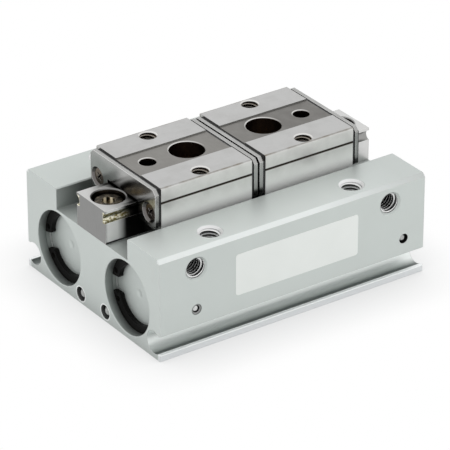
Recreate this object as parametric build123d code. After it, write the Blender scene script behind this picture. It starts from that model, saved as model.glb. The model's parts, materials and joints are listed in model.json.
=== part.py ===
from build123d import *
import os
from math import acos, atan2, ceil, cos, degrees, hypot, pi, radians, sin, sqrt, tan

# Low-profile parallel gripper: two fingers slide apart on one guide rail, each driven by its own
# piston in the block below, and a rack and pinion between the pistons keeps them in step.
# Millimetres. X runs along the finger travel, Y across the block, Z up from the mounting face.
# The origin is the centre of the mounting face. Everything is drawn with the fingers closed.

# Block, an extruded and machined aluminium body
body_length = 75.0
body_height = 26.0
channel_depth = 5.5
outer_edge_chamfer = 0.9
inner_edge_chamfer = 0.3

# Sensor groove along the foot of both sides
switch_groove_radius = 2.9
switch_groove_inset = 2.5
switch_groove_height = 4.05
switch_mouth_height = 4.7

# Cylinder bores, side by side along X
bore_diameter = 16.0
bore_offset = 14.4
bore_height = 10.5
bore_side_wall = 5.6

# End caps, each held by a ring that snaps into a groove, and how far each row's rings sit turned
cap_seat_diameter = 18.5
cap_seat_chamfer = 0.15
cap_recess = 3.5
cap_flange_thickness = 1.9
cap_spigot_length = 2.7
cap_clearance = 0.05
cap_dimple_diameter = 2.2
cap_dimple_depth = 0.15
ring_thickness = 1.2
ring_groove_depth = 0.4
ring_groove_play = 0.1
ring_width_back = 1.8
ring_width_front = 2.6
ring_ear_width = 3.3
ring_ear_length = 3.0
ring_gap = 4.2
ring_plier_hole_diameter = 1.4
near_ring_turn = 5.0
far_ring_turn = 15.0
gasket_thickness = 1.5
gasket_squeeze = 0.04
gasket_bevel = 0.4

# Guide rail and its screws
rail_width = 12.0
rail_height = 8.5
rail_hole_from_end = 4.8
rail_hole_count = 4
rail_counterbore_diameter = 8.0
rail_counterbore_depth = 5.0
rail_hole_chamfer = 0.25
rail_screw_diameter = 4.0
rail_screw_head_diameter = 7.0
rail_screw_head_height = 4.0
rail_screw_socket = 3.0
rail_screw_socket_depth = 2.2
rail_screw_engagement = 7.5
rail_thread_extra = 1.0
rail_screw_clearance = 0.25

# Bearing balls and their tracks
ball_diameter = 2.38
ball_track_clearance = 0.06
ball_height_below_rail_top = 1.9
ball_track_depth = 1.05
ball_pitch = 2.45
ball_spare_count = 2
return_offset_y = 2.8
return_offset_z = -0.9
ball_turn_radius = 1.35
ball_turn_depth = 1.8

# Fingers
finger_stroke = 8.0
finger_width = 27.0
finger_roof_thickness = 5.5
finger_end_margin = 0.725
finger_side_clearance = 1.5
finger_bottom_gap = 3.4
finger_gap = 0.55
finger_rail_clearance = 0.4
finger_roof_clearance = 0.5
finger_edge_chamfer = 0.3
finger_recess_width = 10.5
finger_recess_depth = 0.3
finger_side_groove_top = 3.5
finger_side_groove_height = 0.5
finger_side_groove_depth = 0.3
finger_hole_from_side = 2.7
finger_thread_diameter = 4.0
finger_thread_depth = 5.0
finger_access_diameter = 8.5
finger_pin_diameter = 4.0
finger_pin_depth = 4.0
finger_hole_chamfer = 0.3

# End seals and end plates of the fingers
end_seal_thickness = 0.65
end_seal_inset = 0.15
end_seal_rail_gap = 0.15
end_plate_thickness = 1.0
end_plate_drop = 0.3
end_plate_foot = 0.9
end_plate_corner = 1.1
end_plate_foot_radius = 1.0
end_plate_rail_gap = 0.45
plate_screw_diameter = 2.0
plate_screw_head_diameter = 4.0
plate_dimple_diameter = 5.1
plate_screw_length = 4.5
plate_screw_from_side = 2.8
plate_screw_drop = 6.7
plate_screw_tip_gap = 0.1
plate_screw_cross_length = 2.1
plate_screw_cross_width = 0.45
plate_screw_cross_depth = 0.8

# Pistons, with the parts that ride in them
piston_clearance = 0.1
piston_waist_depth = 0.3
piston_end_clearance = 0.45
piston_nose_length = 1.1
piston_nose_diameter = 13.0
seal_width = 1.8
seal_depth = 1.7
seal_land = 0.4
seal_clearance = 0.03
magnet_width = 3.5
magnet_depth = 1.4
magnet_setback = 8.0

# Joints, which carry each piston's thrust up into its finger
joint_from_centre = 7.0
joint_width = 4.0
joint_thickness = 1.8
joint_from_side = 1.8
joint_foot_length = 7.4
joint_foot_height = 3.5
joint_foot_level = 9.0
joint_slip = 0.1
joint_slot_clearance = 0.2
joint_engagement = 3.0
roller_diameter = 1.5
roller_slip = 0.05
stopper_thickness = 0.5
stopper_margin_x = 0.8
stopper_margin_y = 0.3

# Rack and pinion between the pistons
pitch_line_inset = 1.1
pinion_teeth = 30
gear_width = 3.5
gear_backlash = 0.1
pressure_angle = 20.0
rack_spare_teeth = 3
rack_teeth_behind = 2
rack_thickness = 3.1
rack_slip = 0.05
rack_pin_diameter = 1.2
rack_pin_length = 9.0
pinion_pin_diameter = 4.0
pinion_hub_diameter = 8.0
pinion_running_clearance = 0.03
pinion_end_clearance = 0.2
pinion_pocket_clearance = 0.25
pinion_pin_seat = 4.0

# Air ports, passages and their ball plugs
port_diameter = 5.0
port_depth = 7.5
port_rim_diameter = 6.0
port_from_end = 10.1
port_height = 21.0
port_drill_diameter = 1.2
port_drill_from_cap = 0.8
passage_from_bore = 9.2
passage_height = 2.45
passage_end_wall = 15.0
passage_plug_diameter = 3.6
side_plug_diameter = 2.5
plug_shoulder = 0.15
plug_recess = 0.25
plug_seat_depth = 4.0
side_plug_left_from_end = 10.1
side_plug_right_from_end = 5.9

# Threaded and dowel holes for mounting the block
top_hole_diameter = 5.0
top_hole_rim_diameter = 6.2
top_hole_depth = 8.0
top_hole_from_end = 17.5
top_hole_from_side = 5.4
foot_hole_diameter = 5.0
foot_hole_rim_diameter = 5.8
foot_hole_depth = 6.0
foot_hole_from_end = 17.5
dowel_diameter = 4.0
dowel_depth = 4.0
dowel_from_end = 9.5
dowel_slot_extra = 1.0

# Levels and places that follow from the sizes above
body_width = 2 * (bore_offset + bore_diameter / 2 + bore_side_wall)
channel_width = finger_width + 2 * finger_side_clearance
channel_floor = body_height - channel_depth
rail_top = channel_floor + rail_height
ball_y = rail_width / 2 - ball_track_depth + ball_diameter / 2 + ball_track_clearance
ball_z = rail_top - ball_height_below_rail_top
track_radius = ball_diameter / 2 + ball_track_clearance
return_y = ball_y + return_offset_y
return_z = ball_z + return_offset_z
finger_bottom = channel_floor + finger_bottom_gap
slot_half_width = rail_width / 2 + finger_rail_clearance
slot_roof = rail_top + finger_roof_clearance
finger_top = slot_roof + finger_roof_thickness
end_stack = end_seal_thickness + end_plate_thickness
finger_inner = finger_gap / 2 + end_stack
finger_outer = body_length / 2 - finger_stroke - finger_end_margin - end_stack
finger_centre = (finger_inner + finger_outer) / 2
ball_row_count = int((finger_outer - finger_inner) / ball_pitch) - ball_spare_count
plate_top = finger_top - end_plate_drop
plate_screw_z = finger_top - plate_screw_drop
plate_screw_sink = (plate_dimple_diameter - plate_screw_head_diameter) / 2
plate_screw_y = finger_width / 2 - plate_screw_from_side
rail_hole_pitch = (body_length - 2 * rail_hole_from_end) / (rail_hole_count - 1)
rail_hole_xs = [(i - (rail_hole_count - 1) / 2) * rail_hole_pitch for i in range(rail_hole_count)]
access_hole_x = rail_hole_pitch / 2
finger_pin_x = rail_hole_pitch
cap_front = body_length / 2 - cap_recess
cap_step = cap_front - cap_flange_thickness
cap_inner = cap_step - cap_spigot_length
piston_radius = bore_diameter / 2 - piston_clearance
piston_end = cap_inner - piston_end_clearance
piston_start = -(cap_inner - piston_end_clearance - finger_stroke)
magnet_start = -piston_end + magnet_setback
joint_roof = finger_bottom + joint_engagement
joint_offset = finger_width / 2 - joint_from_side
pitch_radius = bore_offset - bore_diameter / 2 + pitch_line_inset
gear_module = 2 * pitch_radius / pinion_teeth
tooth_pitch = pi * gear_module
rack_teeth = ceil(finger_stroke / tooth_pitch) + rack_spare_teeth
tooth_addendum = gear_module
tooth_dedendum = 1.25 * gear_module
pinion_floor = bore_height - gear_width / 2 - pinion_end_clearance
pinion_pocket_radius = pitch_radius + tooth_addendum + pinion_pocket_clearance

HALF_TURN = Rot(0, 0, 180)
BASE = (Align.CENTER, Align.CENTER, Align.MIN)


def drill(mouth, into, radius, depth):
    """A cylinder that starts at a mouth point and runs into the material."""
    return Plane(origin=mouth, z_dir=into) * Cylinder(radius, depth, align=BASE)


def countersink(mouth, into, radius, rim_radius):
    """A 90 degree cone that opens a hole's mouth to its rim."""
    cone = Cone(rim_radius, radius, rim_radius - radius, align=BASE)
    return Plane(origin=mouth, z_dir=into) * cone


def rimmed_hole(mouth, into, diameter, depth, rim_diameter):
    radius = diameter / 2
    return drill(mouth, into, radius, depth) + countersink(mouth, into, radius, rim_diameter / 2)


def block(x_range, y_range, z_range):
    """A box given by its lowest and highest place along each axis."""
    size = [high - low for low, high in (x_range, y_range, z_range)]
    centre = [(high + low) / 2 for low, high in (x_range, y_range, z_range)]
    return Pos(*centre) * Box(*size)


def along_x(sketch, start, end):
    """Extrudes a section drawn in Y and Z from one X to another."""
    return Pos(start, 0, 0) * extrude(Plane.YZ * sketch, end - start)


def turned(points):
    """Revolves a profile of (distance along X, radius) points about the X axis."""
    outline = Polyline(*[(x, radius) for x, radius in points], close=True)
    return revolve(make_face(outline), Axis.X, 360)


def turned_ring(start, width, inner, outer):
    """A square-edged ring about the X axis."""
    return turned([(start, inner), (start, outer), (start + width, outer), (start + width, inner)])


def in_bore(shape, side):
    """Moves something turned about X onto the axis of one bore."""
    return Pos(0, side * bore_offset, bore_height) * shape


# Block


def switch_groove(side):
    """Round sensor groove with a narrower mouth, in the section of one side."""
    centre_y = side * (body_width / 2 - switch_groove_inset)
    mouth = Rectangle(2 * switch_groove_inset, switch_mouth_height)
    groove = Pos(centre_y, switch_groove_height) * Circle(switch_groove_radius)
    return groove + Pos(side * body_width / 2, switch_groove_height) * mouth


def body_section():
    half = body_width / 2
    inner = channel_width / 2
    c, b = outer_edge_chamfer, inner_edge_chamfer
    right_half = [
        (0, 0), (half, 0), (half, body_height - c), (half - c, body_height),
        (inner + b, body_height), (inner, body_height - b), (inner, channel_floor), (0, channel_floor),
    ]
    face = make_face(Polyline(*right_half, close=True))
    section = face + mirror(face, Plane.YZ)
    return section - switch_groove(-1) - switch_groove(1)


def bore_cut():
    """One cylinder bore with the cap seats and ring grooves at both ends."""
    half = body_length / 2
    groove_start = cap_front
    groove_end = cap_front + ring_thickness + ring_groove_play
    seat, bore = cap_seat_diameter / 2, bore_diameter / 2
    end = [
        (0, 0), (half, 0), (half, seat + cap_seat_chamfer), (half - cap_seat_chamfer, seat),
        (groove_end, seat), (groove_end, seat + ring_groove_depth),
        (groove_start, seat + ring_groove_depth), (groove_start, seat),
        (cap_step, seat), (cap_step, bore), (0, bore),
    ]
    cut = turned(end)
    return cut + HALF_TURN * cut


def joint_slot():
    """Slot in the channel floor for the far joint over its whole travel."""
    reach = joint_width / 2 + joint_slot_clearance
    half = joint_thickness / 2 + joint_slot_clearance
    return block(
        (joint_from_centre - reach, joint_from_centre + finger_stroke + reach),
        (joint_offset - half, joint_offset + half),
        (bore_height, channel_floor),
    )


def pinion_pocket():
    """Pocket under the rail, with the blind seat of the pinion's pin."""
    pocket = drill((0, 0, channel_floor), (0, 0, -1), pinion_pocket_radius, channel_floor - pinion_floor)
    seat = drill((0, 0, pinion_floor), (0, 0, -1), pinion_pin_diameter / 2, pinion_pin_seat)
    return pocket + seat


def port_cuts():
    """Both air ports in the near side, each with a small drilling down to its chamber."""
    near = -body_width / 2
    port_end = near + port_depth
    cuts = []
    for side in (-1, 1):
        mouth = (side * (body_length / 2 - port_from_end), near, port_height)
        cuts.append(rimmed_hole(mouth, (0, 1, 0), port_diameter, port_depth, port_rim_diameter))
        drill_x = side * (cap_inner - port_drill_from_cap)
        mouth = (drill_x, port_end - port_drill_diameter, port_height)
        cuts.append(drill(mouth, (0, 0, -1), port_drill_diameter / 2, port_height - bore_height))
    return cuts


def plug_sites():
    """Mouth, direction, depth and ball size of each drilling that a pressed ball closes."""
    near, half = -body_width / 2, body_length / 2
    passage_y = bore_offset - passage_from_bore
    passage = (1, 0, 0), body_length - passage_end_wall, passage_plug_diameter
    side = (0, 1, 0), plug_seat_depth, side_plug_diameter
    return [
        ((-half, -passage_y, passage_height), *passage),
        ((-half, passage_y, passage_height), *passage),
        ((side_plug_left_from_end - half, near, bore_height), *side),
        ((half - side_plug_right_from_end, near, bore_height), *side),
    ]


def plug_cuts():
    cuts = []
    for mouth, into, depth, ball in plug_sites():
        cuts.append(drill(mouth, into, ball / 2, plug_recess + ball))
        cuts.append(drill(mouth, into, ball / 2 - plug_shoulder, depth))
    return cuts


def mounting_cuts():
    """Tapped holes in both wall tops, and tapped and dowel holes in the mounting face."""
    cuts = []
    top = top_hole_diameter, top_hole_depth, top_hole_rim_diameter
    foot = foot_hole_diameter, foot_hole_depth, foot_hole_rim_diameter
    top_y = body_width / 2 - top_hole_from_side
    for sx in (-1, 1):
        for sy in (-1, 1):
            mouth = (sx * (body_length / 2 - top_hole_from_end), sy * top_y, body_height)
            cuts.append(rimmed_hole(mouth, (0, 0, -1), *top))
        mouth = (sx * (body_length / 2 - foot_hole_from_end), 0, 0)
        cuts.append(rimmed_hole(mouth, (0, 0, 1), *foot))
    dowel_x = body_length / 2 - dowel_from_end
    cuts.append(drill((-dowel_x, 0, 0), (0, 0, 1), dowel_diameter / 2, dowel_depth))
    slot = extrude(SlotCenterToCenter(dowel_slot_extra, dowel_diameter), dowel_depth)
    cuts.append(Pos(dowel_x, 0, 0) * slot)
    return cuts


def rail_thread_cuts():
    depth = rail_screw_engagement + rail_thread_extra
    return [
        drill((x, 0, channel_floor), (0, 0, -1), rail_screw_diameter / 2, depth)
        for x in rail_hole_xs
    ]


def make_body():
    blank = along_x(body_section(), -body_length / 2, body_length / 2)
    cuts = [in_bore(bore_cut(), -1), in_bore(bore_cut(), 1)]
    cuts += [joint_slot(), HALF_TURN * joint_slot(), pinion_pocket()]
    cuts += port_cuts() + plug_cuts() + mounting_cuts() + rail_thread_cuts()
    return blank - cuts


# End caps, rings, gaskets and plugs


def make_cap():
    """Cap of the +X end, turned about the bore axis."""
    flange = cap_seat_diameter / 2 - cap_clearance
    spigot = bore_diameter / 2 - cap_clearance
    groove = spigot - gasket_thickness + gasket_squeeze
    middle = (cap_step + cap_inner) / 2
    half_groove = gasket_thickness / 2 + gasket_squeeze
    cap = turned([
        (cap_inner, 0), (cap_inner, spigot - inner_edge_chamfer), (cap_inner + inner_edge_chamfer, spigot),
        (middle - half_groove, spigot), (middle - half_groove, groove),
        (middle + half_groove, groove), (middle + half_groove, spigot),
        (cap_step, spigot), (cap_step, flange), (cap_front - inner_edge_chamfer, flange),
        (cap_front, flange - inner_edge_chamfer), (cap_front, 0),
    ])
    dimple = (cap_dimple_diameter / 2) ** 2 / (2 * cap_dimple_depth) + cap_dimple_depth / 2
    return cap - Pos(cap_front + dimple - cap_dimple_depth, 0, 0) * Sphere(dimple)


def make_gasket():
    """Ring with bevelled corners that seals the cap's spigot in the bore."""
    outer = bore_diameter / 2 - gasket_squeeze
    inner = outer - gasket_thickness + 2 * gasket_squeeze
    start = (cap_step + cap_inner - gasket_thickness) / 2
    end = start + gasket_thickness
    b = gasket_bevel
    return turned([
        (start, inner), (start, outer - b), (start + b, outer),
        (end - b, outer), (end, outer - b), (end, inner),
    ])


def make_retaining_ring():
    """Open snap ring, widest beside its gap, with an eared gap towards +Y."""
    outer = cap_seat_diameter / 2 + ring_groove_depth - cap_clearance
    shift = (ring_width_back - ring_width_front) / 2
    inner = outer - (ring_width_back + ring_width_front) / 2
    ring = Circle(outer) - Pos(shift, 0) * Circle(inner)
    ear_centre = outer - ring_ear_width / 2
    ear_y = ring_gap / 2 + ring_ear_length / 2
    for side in (-1, 1):
        ear = fillet(Rectangle(ring_ear_width, ring_ear_length).vertices(), ring_ear_length / 5)
        ring += (Pos(ear_centre, side * ear_y) * ear) & Circle(outer)
    for side in (-1, 1):
        ring -= Pos(ear_centre - ring_ear_width / 8, side * ear_y) * Circle(ring_plier_hole_diameter / 2)
    ring -= Pos(outer, 0) * Rectangle(2 * ring_ear_width, ring_gap)
    return along_x(ring, cap_front, cap_front + ring_thickness)


def make_plug_balls():
    balls = []
    for mouth, into, _, ball in plug_sites():
        centre = Vector(*mouth) + Vector(*into) * (plug_recess + ball / 2)
        balls.append(Pos(centre.X, centre.Y, centre.Z) * Sphere(ball / 2))
    return Compound(balls)


# Guide rail


def make_rail():
    section = Pos(0, (channel_floor + rail_top) / 2) * Rectangle(rail_width, rail_height)
    for side in (-1, 1):
        section -= Pos(side * ball_y, ball_z) * Circle(track_radius)
    rail = along_x(section, -body_length / 2, body_length / 2)
    cuts = []
    bore = rail_counterbore_diameter / 2
    for x in rail_hole_xs:
        mouth = (x, 0, rail_top)
        cuts.append(drill(mouth, (0, 0, -1), bore, rail_counterbore_depth))
        cuts.append(countersink(mouth, (0, 0, -1), bore, bore + rail_hole_chamfer))
        cuts.append(drill(mouth, (0, 0, -1), rail_screw_diameter / 2 + rail_screw_clearance, rail_height))
    return rail - cuts


def make_rail_screws():
    """Socket head cap screws, one for each rail hole."""
    seat = rail_top - rail_counterbore_depth
    head = Pos(0, 0, seat) * Cylinder(rail_screw_head_diameter / 2, rail_screw_head_height, align=BASE)
    head = chamfer(head.edges().group_by(Axis.Z)[-1], rail_screw_head_height / 12)
    tip = channel_floor - rail_screw_engagement
    shank = Pos(0, 0, tip) * Cylinder(rail_screw_diameter / 2, seat - tip, align=BASE)
    socket = extrude(RegularPolygon(rail_screw_socket / 2, 6, major_radius=False), rail_screw_socket_depth)
    screw = head + shank - Pos(0, 0, seat + rail_screw_head_height - rail_screw_socket_depth) * socket
    return Compound([Pos(x, 0, 0) * screw for x in rail_hole_xs])


# Fingers, drawn for the +X side unless a name says otherwise


def finger_section():
    """Saddle section with raised strips, side grooves, rail slot and ball tracks."""
    half, c = finger_width / 2, finger_edge_chamfer
    groove_top = finger_top - finger_side_groove_top
    groove_bottom = groove_top - finger_side_groove_height
    recess = finger_recess_width / 2
    points = [
        (0, slot_roof), (slot_half_width, slot_roof), (slot_half_width, finger_bottom),
        (half - c, finger_bottom), (half, finger_bottom + c), (half, groove_bottom),
        (half - finger_side_groove_depth, groove_bottom + finger_side_groove_depth),
        (half - finger_side_groove_depth, groove_top), (half, groove_top),
        (half, finger_top - c), (half - c, finger_top),
        (recess, finger_top), (recess, finger_top - finger_recess_depth),
        (0, finger_top - finger_recess_depth),
    ]
    face = make_face(Polyline(*points, close=True)) - Pos(ball_y, ball_z) * Circle(track_radius)
    return face + mirror(face, Plane.YZ)


def ball_return_cuts():
    """Return tunnels in both legs, with the turning pockets in the block's ends."""
    reach = hypot(return_offset_y, return_offset_z)
    tilt = degrees(atan2(return_offset_z, return_offset_y))
    cuts = []
    for side in (-1, 1):
        tunnel = Pos(side * return_y, return_z) * Circle(track_radius)
        cuts.append(along_x(tunnel, finger_inner, finger_outer))
        middle = Pos(side * (ball_y + return_y) / 2, (ball_z + return_z) / 2)
        turn = middle * Rot(0, 0, side * tilt) * SlotCenterToCenter(reach, 2 * ball_turn_radius)
        cuts.append(along_x(turn, finger_inner, finger_inner + ball_turn_depth))
        cuts.append(along_x(turn, finger_outer - ball_turn_depth, finger_outer))
    return cuts


def joint_pocket_ranges():
    """X and Y range of the far leg's pocket around the joint and its two rollers."""
    reach = joint_width / 2 + roller_diameter + 2 * roller_slip
    half = joint_thickness / 2 + joint_slip
    x, y = joint_from_centre, joint_offset
    return (x - reach, x + reach), (y - half, y + half)


def stopper_ranges():
    (x_low, x_high), (y_low, y_high) = joint_pocket_ranges()
    mx, my = stopper_margin_x, stopper_margin_y
    return (x_low - mx, x_high + mx), (y_low - my, y_high + my)


def finger_cuts():
    cuts = ball_return_cuts()
    for side in (-1, 1):
        mouth = (finger_centre, side * (finger_width / 2 - finger_hole_from_side), finger_top)
        rim = finger_thread_diameter + 2 * finger_hole_chamfer
        cuts.append(rimmed_hole(mouth, (0, 0, -1), finger_thread_diameter, finger_thread_depth, rim))
        for x, into in ((finger_inner, 1), (finger_outer, -1)):
            depth = plate_screw_length + plate_screw_sink - end_stack
            mouth = (x, side * plate_screw_y, plate_screw_z)
            cuts.append(drill(mouth, (into, 0, 0), plate_screw_diameter / 2, depth))
    level = finger_top - finger_recess_depth
    strip_holes = [
        (access_hole_x, finger_access_diameter, level - rail_top),
        (finger_pin_x, finger_pin_diameter, finger_pin_depth),
    ]
    for x, diameter, depth in strip_holes:
        cuts.append(rimmed_hole((x, 0, level), (0, 0, -1), diameter, depth, diameter + finger_hole_chamfer))
    x_range, y_range = joint_pocket_ranges()
    cuts.append(block(x_range, y_range, (finger_bottom, joint_roof)))
    x_range, y_range = stopper_ranges()
    cuts.append(block(x_range, y_range, (finger_bottom, finger_bottom + stopper_thickness)))
    return cuts


def make_finger():
    return along_x(finger_section(), finger_inner, finger_outer) - finger_cuts()


def end_outline(inset, rail_gap):
    """Outline of an end plate or end seal, notched round the rail."""
    half = finger_width / 2 - inset
    low, high = finger_bottom + end_plate_foot + inset, plate_top - inset
    sheet = Pos(0, (low + high) / 2) * Rectangle(2 * half, high - low)
    corners = sheet.vertices().sort_by(Axis.Y)
    sheet = fillet(corners[:2], end_plate_foot_radius)
    sheet = chamfer(sheet.vertices().group_by(Axis.Y)[-1], end_plate_corner)
    notch_top = rail_top + rail_gap
    notch = Pos(0, notch_top / 2) * Rectangle(rail_width + 2 * rail_gap, notch_top)
    return sheet - notch


def plate_screw_mouths(x):
    return [(x, side * plate_screw_y, plate_screw_z) for side in (-1, 1)]


def plate_screw_holes(inner):
    """Dimpled holes through an end plate and into the seal behind it."""
    face, into = (finger_gap / 2, 1) if inner else (finger_outer + end_stack, -1)
    hole = plate_screw_diameter, end_stack, plate_dimple_diameter
    return [rimmed_hole(mouth, (into, 0, 0), *hole) for mouth in plate_screw_mouths(face)]


def make_end_seal(inner):
    """Resin end piece with its wiper lip close to the rail."""
    start = finger_inner - end_seal_thickness if inner else finger_outer
    seal = along_x(end_outline(end_seal_inset, end_seal_rail_gap), start, start + end_seal_thickness)
    return seal - plate_screw_holes(inner)


def make_end_plate(inner):
    """Steel end plate whose two screws sit in dimples."""
    start = finger_gap / 2 if inner else finger_outer + end_seal_thickness
    plate = along_x(end_outline(0, end_plate_rail_gap), start, start + end_plate_thickness)
    return plate - plate_screw_holes(inner)


def plate_screw():
    """Flat head cross-recess screw along +Z with its head's face at the origin."""
    head, shank = plate_screw_head_diameter / 2, plate_screw_diameter / 2
    cone = Cone(head, shank, head - shank, align=BASE)
    screw = cone + Cylinder(shank, plate_screw_length - plate_screw_tip_gap, align=BASE)
    cross = Box(plate_screw_cross_length, plate_screw_cross_width, plate_screw_cross_depth, align=BASE)
    return screw - (cross + Rot(0, 0, 90) * cross)


def make_plate_screws():
    """The four screws of one finger's end plates."""
    screws = []
    heads = ((finger_gap / 2 + plate_screw_sink, 1), (finger_outer + end_stack - plate_screw_sink, -1))
    for head, into in heads:
        for mouth in plate_screw_mouths(head):
            screws.append(Plane(origin=mouth, x_dir=(0, 1, 1), z_dir=(into, 0, 0)) * plate_screw())
    return Compound(screws)


def make_balls():
    """The row of loaded balls in each leg; the return tunnels are left empty."""
    ball = Pos(finger_centre, 0, ball_z) * Sphere(ball_diameter / 2)
    half_row = (ball_row_count - 1) / 2
    return Compound([
        Pos((i - half_row) * ball_pitch, side * ball_y, 0) * ball
        for side in (-1, 1)
        for i in range(ball_row_count)
    ])


# Joint, rollers and stopper of the +X finger


def make_joint():
    """Upright key: its foot sits in the piston and its head in the finger's leg."""
    half = joint_thickness / 2
    y_range = (joint_offset - half, joint_offset + half)
    head = block(
        (joint_from_centre - joint_width / 2, joint_from_centre + joint_width / 2),
        y_range,
        (joint_foot_level, joint_roof - joint_slip),
    )
    foot = block(
        (joint_from_centre - joint_foot_length / 2, joint_from_centre + joint_foot_length / 2),
        y_range,
        (joint_foot_level, joint_foot_level + joint_foot_height),
    )
    return head + foot


def make_rollers():
    """Two needle rollers that bear on the faces of the joint's head."""
    low = finger_bottom + stopper_thickness
    length = joint_roof - low - joint_slip
    offset = joint_width / 2 + roller_slip + roller_diameter / 2
    roller = Pos(joint_from_centre, joint_offset, low) * Cylinder(roller_diameter / 2, length, align=BASE)
    return Compound([Pos(side * offset, 0, 0) * roller for side in (-1, 1)])


def make_stopper():
    """Thin plate let into the leg's foot, which keeps the rollers in their pocket."""
    x_range, y_range = stopper_ranges()
    plate = block(x_range, y_range, (finger_bottom, finger_bottom + stopper_thickness))
    reach_x = joint_width / 2 + joint_slip
    reach_y = joint_thickness / 2 + joint_slip
    window = block(
        (joint_from_centre - reach_x, joint_from_centre + reach_x),
        (joint_offset - reach_y, joint_offset + reach_y),
        (finger_bottom, finger_bottom + stopper_thickness),
    )
    return plate - window


# Piston of the +X finger, in the far bore


def seal_starts():
    """Where each seal groove begins; the two ends of the piston mirror each other."""
    inset = piston_nose_length + seal_land
    return [-piston_end + inset, -piston_start - inset - seal_width]


def make_piston():
    low, high = -piston_end, -piston_start
    r, waist = piston_radius, piston_radius - piston_waist_depth
    nose, groove = piston_nose_diameter / 2, piston_radius - seal_depth
    inset = piston_nose_length + 2 * seal_land + seal_width
    profile = [(low, 0), (low, nose), (low + piston_nose_length, nose), (low + piston_nose_length, r)]
    profile += [(low + inset, r), (low + inset + piston_waist_depth, waist)]
    profile += [(high - inset - piston_waist_depth, waist), (high - inset, r)]
    profile += [(high - piston_nose_length, r), (high - piston_nose_length, nose), (high, nose), (high, 0)]
    piston = turned(profile)
    for start in seal_starts():
        piston -= turned_ring(start, seal_width, groove, bore_diameter)
    piston -= turned_ring(magnet_start, magnet_width, piston_radius - magnet_depth, bore_diameter)
    pockets = [rack_channel(), pinion_relief(), foot_pocket()]
    return in_bore(piston, 1) - pockets - rack_pin_solids(rack_pin_diameter / 2)


def foot_pocket():
    """Pocket in the piston's crown that the joint's foot drops into."""
    length = joint_foot_length / 2 + joint_slip
    half = joint_thickness / 2 + joint_slip
    return block(
        (joint_from_centre - length, joint_from_centre + length),
        (joint_offset - half, joint_offset + half),
        (joint_foot_level, bore_height + bore_diameter / 2),
    )


def make_piston_seal(start):
    """Lip seal that fills its groove and stands just clear of the bore."""
    inner = piston_radius - seal_depth + seal_clearance
    outer = bore_diameter / 2 - seal_clearance
    low, high = start + seal_clearance, start + seal_width - seal_clearance
    lip = seal_width / 4
    profile = [(low, inner), (low, outer - lip / 2), (low + lip, outer), (high - lip, outer)]
    profile += [(high, outer - lip / 2), (high, inner)]
    return in_bore(turned(profile), 1)


def make_magnet():
    inner = piston_radius - magnet_depth + seal_clearance
    width = magnet_width - 2 * seal_clearance
    magnet = turned_ring(magnet_start + seal_clearance, width, inner, piston_radius - piston_waist_depth)
    return in_bore(magnet, 1)


# Rack and pinion


def rack_x_range():
    """Ends of the far rack, set so that a tooth space faces the pinion's axis."""
    end = rack_teeth_behind * tooth_pitch
    return end - rack_teeth * tooth_pitch, end


def rack_back():
    return pitch_radius - tooth_addendum + rack_thickness


def rack_channel():
    low, high = rack_x_range()
    half = gear_width / 2 + rack_slip
    return block(
        (low - rack_slip, high + rack_slip),
        (0, rack_back() + rack_slip),
        (bore_height - half, bore_height + half),
    )


def pinion_relief():
    """Space for the pinion's teeth over the piston's whole travel."""
    reach = sqrt(pinion_pocket_radius ** 2 - (bore_offset - piston_radius) ** 2)
    half = gear_width / 2 + rack_slip
    return block(
        (-finger_stroke - reach, reach),
        (0, pinion_pocket_radius),
        (bore_height - half, bore_height + half),
    )


def rack_pin_xs():
    low, high = rack_x_range()
    return [low + 1.5 * tooth_pitch, high - 1.5 * tooth_pitch]


def rack_pin_solids(radius):
    y = (pitch_radius + tooth_dedendum + rack_back()) / 2
    return [Pos(x, y, bore_height) * Cylinder(radius, rack_pin_length) for x in rack_pin_xs()]


def make_rack_pins():
    return Compound(rack_pin_solids(rack_pin_diameter / 2 - 0.01))


def rack_outline():
    """Straight-sided teeth in X and Y, with a tooth space opposite the pinion's axis."""
    low, high = rack_x_range()
    tip, root = pitch_radius - tooth_addendum, pitch_radius + tooth_dedendum
    slope = tan(radians(pressure_angle))
    half_pitch_tooth = tooth_pitch / 4 - gear_backlash / 4
    points = [(low, rack_back())]
    for i in range(rack_teeth):
        centre = low + (i + 0.5) * tooth_pitch
        half_root = half_pitch_tooth + tooth_dedendum * slope
        half_tip = half_pitch_tooth - tooth_addendum * slope
        points += [(centre - half_root, root), (centre - half_tip, tip)]
        points += [(centre + half_tip, tip), (centre + half_root, root)]
    points = [points[0], (low, root)] + points[1:] + [(high, root), (high, rack_back())]
    return make_face(Polyline(*points, close=True))


def make_rack():
    rack = Pos(0, 0, bore_height - gear_width / 2) * extrude(rack_outline(), gear_width)
    return rack - rack_pin_solids(rack_pin_diameter / 2)


def involute_half_angle(radius):
    """Half the angle that a pinion tooth covers at a radius."""
    def roll(r):
        cosine = min(1.0, pitch_radius * cos(radians(pressure_angle)) / r)
        return tan(acos(cosine)) - acos(cosine)

    at_pitch = (tooth_pitch / 4 - gear_backlash / 4) / pitch_radius
    return at_pitch + roll(pitch_radius) - roll(radius)


def pinion_outline():
    base = pitch_radius * cos(radians(pressure_angle))
    root, tip = pitch_radius - tooth_dedendum, pitch_radius + tooth_addendum
    start = max(base, root)
    radii = [start + (tip - start) * i / 3 for i in range(4)]
    points = []
    for tooth in range(pinion_teeth):
        centre = radians(90) + tooth * 2 * pi / pinion_teeth
        flank = [(root, involute_half_angle(start))] if root < start else []
        flank += [(r, involute_half_angle(r)) for r in radii]
        turn = [(r, centre - a) for r, a in flank] + [(r, centre + a) for r, a in reversed(flank)]
        points += [(r * cos(a), r * sin(a)) for r, a in turn]
    return make_face(Polyline(*points, close=True))


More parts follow.
